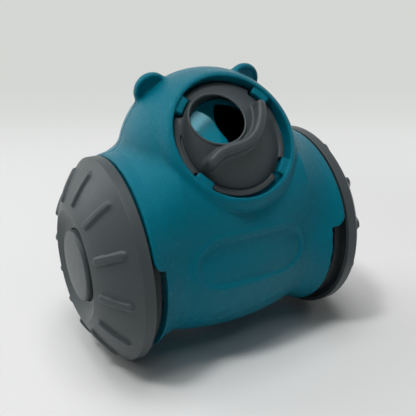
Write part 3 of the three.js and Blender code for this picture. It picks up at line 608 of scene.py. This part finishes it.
# Smooth line through the grip's named points, by Catmull-Rom blending.
def gripLine(count):
    knots = np.array(lidSizes["grip"])
    knots = np.vstack([2 * knots[0] - knots[1], knots, 2 * knots[-1] - knots[-2]])
    share = np.linspace(0, len(knots) - 3, count, endpoint=False)
    index = share.astype(int)
    t = (share - index)[:, None]
    a, b, c, d = (knots[index + i] for i in range(4))
    squared, cubed = 2 * a - 5 * b + 4 * c - d, 3 * b - a - 3 * c + d
    return 0.5 * (2 * b + (c - a) * t + squared * t ** 2 + cubed * t ** 3)


gripPoints = gripLine(lidSizes["gripRuns"])


# Distance in the lid's plane to the grip's line: the least of the distances to its short runs.
def toGrip(across, up):
    shape = np.broadcast(across, up).shape
    a, b = np.broadcast_to(across, shape).ravel(), np.broadcast_to(up, shape).ravel()
    best = np.full(a.shape, 1e9)
    for start, end in zip(gripPoints[:-1], gripPoints[1:]):
        way = end - start
        t = np.clip(((a - start[0]) * way[0] + (b - start[1]) * way[1]) / (way @ way), 0, 1)
        best = np.minimum(best, (a - start[0] - t * way[0]) ** 2 + (b - start[1] - t * way[1]) ** 2)
    return np.sqrt(best).reshape(shape)


# Distance from the hole's middle along the way that the rim tilts.
def downTilt(across, up):
    s = lidSizes
    side = math.radians(s["tiltSide"])
    return (across - s["holeAt"][0]) * math.cos(side) + (up - s["holeAt"][1]) * math.sin(side)


# How far up the slanted cone a point lies: 0 at the flange, 1 in the tilted plane of the rim.
# Between them the planes turn evenly: share = (out - top) / (rise - downTilt * tangent of the tilt).
def coneShare(across, up, out):
    s = lidSizes
    rise = s["rise"] - downTilt(across, up) * math.tan(math.radians(s["tilt"]))
    return (out - s["flangeTop"]) / np.maximum(rise, s["leastRise"])


# Outside and inside of the cone. Each level is a circle whose middle and radius change evenly with the share.
def coneSides(across, up, out):
    s = lidSizes
    share = coneShare(across, up, out)
    bounded = np.clip(share, s["shareLow"], s["shareHigh"])
    distance = np.hypot(across - s["holeAt"][0] * bounded, up - s["holeAt"][1] * bounded)
    rimOuter, skirtInner = s["hole"] + 2 * s["bead"], s["skirt"] - s["skirtWall"]
    outside = (distance - s["cone"] - (rimOuter - s["cone"]) * bounded) * s["coneSlope"]
    inside = (distance - skirtInner - (s["hole"] - skirtInner) * bounded) * s["coneSlope"]
    hole = softMax(distance - s["hole"], -s["rise"] * (share - s["holeFloor"]), keen)
    return outside, softMin(inside, hole, keen)


# Skirt below the flange, with a thicker foot that turns in.
def lidSkirt(fromAxis, out, under, top):
    s = lidSizes
    inner, foot = s["skirt"] - s["skirtWall"], under - s["skirtDepth"]
    skirt = ring(fromAxis, out, inner, s["skirt"], foot, top, sharp)
    snap = ring(fromAxis, out, inner - s["snap"], s["skirt"], foot, foot + s["snap"], sharp)
    return np.minimum(skirt, snap)


# Finger grip: a ridge along the line, wider downwards by its draft, whose crest drops as the radius squared.
def gripRidge(across, up, out, fromAxis, top):
    s = lidSizes
    crest = top + s["gripCrown"] - s["gripDrop"] * fromAxis ** 2
    ridge = toGrip(across, up) - s["gripHalf"] - s["gripDraft"] * (crest - out)
    return softMax(softMax(ridge, out - crest, s["gripRound"]), top - s["gripRoot"] - out, sharp)


# Cone, grip, bead and flange joined with fillets, less the groove and the inside; then the skirt is joined,
# and the notches are cut.
def lidField(across, up, out):
    s = lidSizes
    fromAxis = np.hypot(across, up)
    top, under = s["flangeTop"], s["flangeTop"] - s["flangeThick"]
    flange = softMax(fromAxis - s["flange"], slab(out, under, top, sharp), soft)
    span = fourSectors(across, up, s["notchAngle"], s["notchSpan"])
    notch = softMax(span, s["notchInner"] - fromAxis, soft)
    outside, inside = coneSides(across, up, out)
    tilt = math.radians(s["tilt"])
    height = (out - s["flangeTop"] - s["rise"]) * math.cos(tilt) + downTilt(across, up) * math.sin(tilt)
    cone = softMax(softMax(outside, height, s["coneEdge"]), under - out, sharp)
    fromHole = np.hypot(across - s["holeAt"][0], up - s["holeAt"][1])
    bead = np.hypot(fromHole - s["hole"] - s["bead"], height) - s["bead"]
    low = ease((s["smoothUp"] - up) / s["smoothUp"])
    groove = np.hypot(fromAxis - s["cone"] - s["grooveAway"], out - top)
    groove = groove + s["grooveLift"] - s["grooveSize"] * low
    body = softMin(cone, gripRidge(across, up, out, fromAxis, top), s["gripBlend"])
    body = softMin(body, bead, keen)
    body = softMin(body, flange, keen + s["footFillet"] * (1 - low))
    body = softMax(body, -groove, sharp)
    body = softMax(body, -inside, crisp)
    body = softMin(body, lidSkirt(fromAxis, out, under, top), sharp)
    return softMax(body, -notch, keen)


def makeLid():
    s = lidSizes
    reach = s["reach"]
    first, last = (-reach, -reach, s["low"]), (reach, reach, s["high"])
    points, normals, faces = surfaceNet(lidField, first, last, s["step"])
    points, normals = placed(points, neckToToy), placed(normals, neckTurn)
    piece = newPiece("treatLid", points, faces, finishes["greyTrim"], normals)
    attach(piece, "lid")
    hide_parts("lid")
    print("stage: treatLid", len(points), "points")


makeLid()


# Flow shutter: a plate with an S-shaped edge and two keys below it

shutterSizes = {
    "radius": 20.0, "rim": 2.3, "bottom": -8.4, "thick": 1.6,
    "mouthSlope": 0.93, "mouthCorner": 1.2, "blend": 0.3,
    "keyTop": -9.9, "keyThick": 1.8, "keyHalf": 2.2, "keyInner": 15.7, "keyReach": 23.9, "stemReach": 18.85,
    "edge": [(-0.3, 18.4), (-1.9, 15.1), (-2.6, 12.8), (-3.1, 10.5), (-2.9, 7.9), (-2.4, 5.7), (-1.4, 3.7),
             (-0.4, 1.7), (0.2, -0.2), (1.4, -4.0), (2.6, -7.9), (3.0, -10.5), (1.9, -15.1), (0.3, -18.4)],
    "reach": (24.6, 20.8), "low": -12.4, "high": -6.0,       # the grid's box
    "step": 0.42,
}


# A plate less its open half, with two keys below it. Straight runs through the named points give the S-edge.
def shutterField(across, up, out):
    s = shutterSizes
    fromAxis = np.hypot(across, up)
    edge = np.array(s["edge"])[::-1]
    top = s["bottom"] + s["thick"]
    plate = softMax(fromAxis - s["radius"], slab(out, s["bottom"], top, keen), crisp)
    edgeAt = np.interp(up, edge[:, 1], edge[:, 0])
    mouth = (edgeAt - across) * s["mouthSlope"]
    mouth = softMax(mouth, fromAxis - s["radius"] + s["rim"], s["mouthCorner"])
    plate = softMax(plate, -mouth, crisp)
    away = np.abs(across)
    width = slab(up, -s["keyHalf"], s["keyHalf"], sharp)
    keyBottom, stemTop = s["keyTop"] - s["keyThick"], s["bottom"] + s["thick"] / 2
    key = softMax(width, slab(out, keyBottom, s["keyTop"], sharp), sharp)
    key = softMax(key, slab(away, s["keyInner"], s["keyReach"], sharp), sharp)
    stem = softMax(width, slab(out, keyBottom, stemTop, sharp), sharp)
    stem = softMax(stem, slab(away, s["keyInner"], s["stemReach"], sharp), sharp)
    return softMin(softMin(plate, key, s["blend"]), stem, s["blend"])


def makeShutter():
    s = shutterSizes
    wide, tall = s["reach"]
    first, last = (-wide, -tall, s["low"]), (wide, tall, s["high"])
    points, normals, faces = surfaceNet(shutterField, first, last, s["step"])
    points, normals = placed(points, neckToToy), placed(normals, neckTurn)
    piece = newPiece("flowShutter", points, faces, finishes["tealGloss"], normals)
    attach(piece, "shutter")
    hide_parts("flow_shutter")
    print("stage: flowShutter", len(points), "points")


makeShutter()


# Wheels: profiles turned about the axle, as (radius, distance outwards from the tread's inner edge)

wheelSizes = {
    "hub": [(6.2, 12.0, 0.3), (16.5, 12.0, 0.3), (16.5, 15.6, 0.3), (20.0, 16.0, 1.5), (24.2, 18.2, 0.3)],
    "faceInner": (24.8, 18.5), "faceOuter": (46.0, 4.6), "bulge": 1.8, "faceCorner": 0.4, "faceRuns": 50,
    "rim": [(46.0, 0.0, 0.3), (43.9, 0.0, 0.3), (43.9, 3.2, 0.3), (26.3, 14.6, 0.3),
            (18.1, 10.0, 0.3), (9.0, 10.0, 0.3), (9.0, -2.3, 0.3), (6.2, -2.3, 0.3)],
    "ribs": 12, "ribTurnLeft": 27.8, "ribTurnRight": 11.5,
    "ribInner": 28.2, "ribOuter": 42.4, "ribHalf": 1.7, "ribHeight": 1.2,
    "ribFlat": 0.75, "ribStep": 0.45,        # shares of the rib's half width and of its height
    "ribStepRun": 0.5,
    "faceLap": 0.5, "faceDepth": 0.6, "faceFoot": 0.3,
    "drum": [(6.2, -4.6, 0.2), (41.0, -4.6, 0.5), (41.5, -4.1, 0.4), (41.5, 0.3, 0.2), (43.6, 0.3, 0.2),
             (43.6, 1.7, 0.3), (39.5, 1.7, 0.3), (39.5, -2.6, 0.3), (6.2, -2.6, 0.2)],
    "cap": [(0.0, 18.9, 0.0), (8.0, 18.8, 2.0), (15.2, 18.3, 0.7), (16.0, 17.3, 0.5),
            (16.2, 12.3, 0.2), (14.6, 12.3, 0.2), (14.6, 16.4, 0.3), (0.0, 17.2, 0.0)],
    # longest run along a profile, and sides round the axle
    "coverMesh": (2.5, 576), "drumMesh": (2.0, 192), "capMesh": (1.0, 144),
}


# The wheel's domed face: a straight cone between two circles plus bulge * 4t(1 - t), and its slope.
def faceAt(radius):
    s = wheelSizes
    (inner, high), (outer, low) = s["faceInner"], s["faceOuter"]
    t = (radius - inner) / (outer - inner)
    out = high + (low - high) * t + s["bulge"] * 4 * t * (1 - t)
    slope = ((low - high) + s["bulge"] * 4 * (1 - 2 * t)) / (outer - inner)
    return out, slope


# Hub, face and rim in turn; only the face's two ends are rounded.
def coverProfile():
    s = wheelSizes
    runs = s["faceRuns"]
    radii = np.linspace(s["faceInner"][0], s["faceOuter"][0], runs + 1)
    face = [(radius, faceAt(radius)[0], s["faceCorner"] if i in (0, runs) else 0)
            for i, radius in enumerate(radii)]
    return s["hub"] + face + s["rim"]


cornerShare, cornerPoints = 0.45, 6      # most of a run that a corner takes, and points round it


# A path of straight runs whose corners are rounded: each is cut back by its radius and bridged by
# a quadratic curve, here + (1 - t)^2 * back + t^2 * on.
def roundedProfile(corners, spacing, closed):
    knots = np.array(corners, dtype=float)
    count = len(knots)
    path = []
    for i, radius in enumerate(knots[:, 2]):
        here = knots[i, :2]
        if not closed and i in (0, count - 1) or radius == 0:
            path.append(here[None])
            continue
        before, after = knots[i - 1, :2], knots[(i + 1) % count, :2]
        legs = []
        for way in (before - here, after - here):
            length = np.linalg.norm(way)
            legs.append(min(radius, length * cornerShare) * way / length)
        t = np.linspace(0, 1, cornerPoints)[:, None]
        path.append(here + (1 - t) ** 2 * legs[0] + t ** 2 * legs[1])
    path = np.vstack(path)
    if closed:
        path = np.vstack([path, path[:1]])
    runs = []
    for start, end in zip(path[:-1], path[1:]):
        steps = max(1, int(math.ceil(np.linalg.norm(end - start) / spacing)))
        runs.append(start + (end - start) * np.linspace(0, 1, steps, endpoint=False)[:, None])
    return np.vstack(runs if closed else runs + [path[-1:]])


# Height of the ribs over the face: stadiums laid along the radius, evenly round the wheel.
# Each is a small step and a part of a circle that rises to a flat middle.
def ribRelief(radius, turn, first):
    s = wheelSizes
    pitch = 2 * math.pi / s["ribs"]
    angle = (turn - math.radians(first) + pitch / 2) % pitch - pitch / 2
    middle = (s["ribInner"] + s["ribOuter"]) / 2
    half = (s["ribOuter"] - s["ribInner"]) / 2 - s["ribHalf"]
    along, across = radius * np.cos(angle) - middle, radius * np.sin(angle)
    edge = np.hypot(np.maximum(np.abs(along) - half, 0), across) - s["ribHalf"]
    crown = np.sqrt(np.clip(1 - (edge / s["ribHalf"] + s["ribFlat"]) ** 2, 0, 1))
    crown = np.where(edge < -s["ribFlat"] * s["ribHalf"], 1, crown)
    share = s["ribStep"] * ease(-edge / s["ribStepRun"]) + (1 - s["ribStep"]) * crown
    return s["ribHeight"] * np.where(edge < 0, share, 0)


# Ribs lift the outer face along its own normal; the hub, the tread and the inside stay.
def ribbed(radius, out, turn, side):
    s = wheelSizes
    first = s["ribTurnRight"] if side > 0 else s["ribTurnLeft"]
    surface, slope = faceAt(radius)
    onFace = (radius > s["faceInner"][0] + s["faceLap"]) & (out > surface - s["faceDepth"])
    onFace = onFace & (out > s["faceOuter"][1] + s["faceFoot"])
    height = ribRelief(radius, turn, first) * onFace / np.sqrt(1 + slope ** 2)
    return radius - height * slope, out + height


# A profile turned about the axle: y = -radius * cos(turn), z = radius * sin(turn).
# A closed profile's last row joins its first; an open one starts and ends on the axle.
def turned(name, side, corners, size, material, closed=True, relief=None):
    spacing, sides = size
    profile = roundedProfile(corners, spacing, closed)
    turn = np.linspace(0, 2 * math.pi, sides, endpoint=False)
    radius, out = profile[:, :1] + 0 * turn, profile[:, 1:] + 0 * turn
    if relief:
        radius, out = relief(radius, out, turn[None, :] + 0 * radius, side)
    points = np.stack([side * (toy["wheelInset"] + out), -radius * np.cos(turn), radius * np.sin(turn)], -1)
    rows = len(profile)
    faces = gridFaces(rows, sides, True)
    if closed:
        last = gridFaces(2, sides, True)
        last = np.where(last >= sides, last - sides, last + (rows - 1) * sides)
        faces = np.vstack([faces, last])
    if side > 0:
        faces = faces[:, ::-1]
    return newPiece(name, points.reshape(-1, 3), faces, material)


def makeWheels():
    s = wheelSizes
    grey, dark = finishes["greyTrim"], finishes["darkDrum"]
    for side, word in ((-1, "left"), (1, "right")):
        cover = turned(word + "WheelCover", side, coverProfile(), s["coverMesh"], grey, relief=ribbed)
        drum = turned(word + "WheelDrum", side, s["drum"], s["drumMesh"], dark)
        cap = turned(word + "HubCap", side, s["cap"], s["capMesh"], grey, closed=False)
        for piece, node, slot in ((cover, "wheel_cover", "grey_trim"), (drum, "wheel_drum", "dark_plastic"),
                                  (cap, "hub_cap", "grey_trim")):
            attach(piece, word + "_wheel")
            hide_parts(word + "_" + node)
        print("stage:", word, "wheel", len(cover.data.vertices), "points")


makeWheels()


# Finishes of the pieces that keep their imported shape, by a word in the node's name

nodeFinishes = {
    "ballast": "castIron", "ballast_tray": "darkDrum", "bush": "nylon", "screw": "steel", "axle": "steel",
}


# Where a name has two of the words, the later one counts.
def finishNodes():
    for name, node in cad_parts.items():
        for word, finish in nodeFinishes.items():
            if word in name:
                node.data.materials.clear()
                node.data.materials.append(finishes[finish])


finishNodes()
print("stage: packed nodes finished")


# Studio

studio = {
    "camera": (-0.13139, -0.23551, 0.17389), "cameraTurn": (67.019, 0.0, -29.141), "lens": 53.05,
    # floor in metres: half its width, its flat depth behind the toy, the bend's radius and the wall's top
    "floorHalf": 3.0, "floorDeep": 1.6, "bend": 0.8, "wallHeight": 2.2,
    "floorGrey": 0.79, "floorGreen": 1.005,
    "roomLight": 0.025, "roomSeen": 0.5,
    # the glowing sheet behind the toy, painted light: metres from the toy, and its tones by depth behind it,
    # darker further back as painted shade
    "sheetNear": 0.16, "sheetFar": 0.42, "sheetDeep": 0.56,
    "sheetPaintedLight": [(0.0, (0.80, 0.806, 0.815, 1)), (0.40, (0.798, 0.805, 0.815, 1)),
                   (0.58, (0.752, 0.762, 0.755, 1)), (0.75, (0.694, 0.708, 0.690, 1)),
                   (1.0, (0.660, 0.676, 0.652, 1))],
    # square lamps aimed at one place: height and compass turn from the back in degrees, side in metres, watts
    "lampReach": 1.9, "lampAim": (0, 0, 0.05),
    "lamps": {"skyLight": (89, 0, 1.0, 16.0), "windowLight": (20, 318, 1.0, 9.5),
              "leftLight": (66, 262, 0.3, 11.5), "rightLight": (70, 178, 1.0, 2.3),
              "highLight": (52, 326, 1.1, 6.0)},
    # a narrow lamp that shows as a streak in the shutter: place, aim, sides and watts
    "strip": ((0.642, -0.675, 1.153), (-0.0075, -0.010, 0.1075), (0.5, 0.03), 0.45),
}


# Away from the toy the camera sees a glowing sheet of painted light, also in shiny surfaces, graded darker
# with depth as painted shade.
# Near the toy it sees the lit floor, with the shadow.
def paintBackdrop(finish):
    s = studio
    place = finish.node("ShaderNodeVectorRotate", {"rotation_type": "Z_AXIS"},
                        {"Vector": finish.place(), "Angle": math.radians(-s["cameraTurn"][2])})
    split = finish.node("ShaderNodeSeparateXYZ", {}, {"Vector": place}, 1)
    depth = finish.node("ShaderNodeMapRange", {}, {"Value": split, "From Max": s["sheetDeep"]})
    tone = finish.node("ShaderNodeValToRGB", {"stops": s["sheetPaintedLight"]}, {"Fac": depth})
    away = finish.node("ShaderNodeVectorMath", {"operation": "LENGTH"}, {0: finish.place()}, 1)
    far = finish.node("ShaderNodeMapRange", {"interpolation_type": "SMOOTHSTEP"},
                      {"Value": away, "From Min": s["sheetNear"], "From Max": s["sheetFar"]})
    paintedGlow = finish.node("ShaderNodeEmission", {}, {"Color": tone, "Strength": 1.0})
    lit = Sock(finish, finish.shader.outputs[0])
    both = finish.node("ShaderNodeMixShader", {}, {0: far * finish.seen(), 1: lit, 2: paintedGlow})
    finish.feed(finish.tree.nodes["Material Output"].inputs["Surface"], both)


# A floor that sweeps up into a backdrop: flat, then a quarter circle, then upright.
def makeFloor():
    s = studio
    across = np.linspace(-s["floorHalf"], s["floorHalf"], 9)
    flat = np.linspace(-s["floorHalf"], s["floorDeep"], 9)
    bend = np.linspace(0, math.pi / 2, 17)[1:]
    depth = np.concatenate([flat, s["floorDeep"] + s["bend"] * np.sin(bend), [s["floorDeep"] + s["bend"]]])
    rise = np.concatenate([0 * flat, s["bend"] * (1 - np.cos(bend)), [s["wallHeight"]]])
    points = np.stack(np.broadcast_arrays(across[None, :], depth[:, None], rise[:, None]), -1)
    turn = np.array(Matrix.Rotation(math.radians(s["cameraTurn"][2]), 3, "Z"))
    points = points.reshape(-1, 3) @ turn.T / mm - (0, 0, axleHeight)
    grey = s["floorGrey"]
    finish = Finish(bpy.data.materials.new("paleFloor"))
    finish.set(Base_Color=(grey, grey * s["floorGreen"], grey, 1), Roughness=0.75)
    paintBackdrop(finish)
    floor = newPiece("studioFloor", points, gridFaces(len(depth), len(across), False), finish.block)


def makeLamp(name, place, aim, size, power):
    lamp = bpy.data.lights.new(name, "AREA")
    lamp.shape = "RECTANGLE"
    lamp.size, lamp.size_y = size
    lamp.energy = power
    holder = bpy.data.objects.new(name, lamp)
    bpy.context.scene.collection.objects.link(holder)
    holder.location = place
    holder.rotation_euler = (Vector(aim) - Vector(place)).to_track_quat("-Z", "Y").to_euler()


def makeLamps():
    s = studio
    for name, (height, turn, size, power) in s["lamps"].items():
        up, around = math.radians(height), math.radians(turn)
        way = np.array((math.cos(up) * math.sin(around), math.cos(up) * math.cos(around), math.sin(up)))
        makeLamp(name, tuple(way * s["lampReach"] + s["lampAim"]), s["lampAim"], (size, size), power)
    makeLamp("stripLight", *s["strip"])


def makeCamera():
    s = studio
    camera = bpy.data.objects.new("photoCamera", bpy.data.cameras.new("photoCamera"))
    bpy.context.scene.collection.objects.link(camera)
    camera.location = s["camera"]
    camera.rotation_euler = [math.radians(angle) for angle in s["cameraTurn"]]
    camera.data.sensor_width = 36
    camera.data.lens = s["lens"]
    camera.data.clip_start = 0.01
    bpy.context.scene.camera = camera


def makeStudio():
    s = studio
    makeFloor()
    makeLamps()
    room = Finish(bpy.data.worlds.new("softRoom"), "Background")
    strength = room.seen() * (s["roomSeen"] - s["roomLight"]) + s["roomLight"]
    room.set(Color=(1, 1, 1, 1), Strength=strength)
    bpy.context.scene.world = room.block
    makeCamera()
    bpy.context.scene.view_settings.view_transform = "Standard"


makeStudio()
print("stage: studio made")
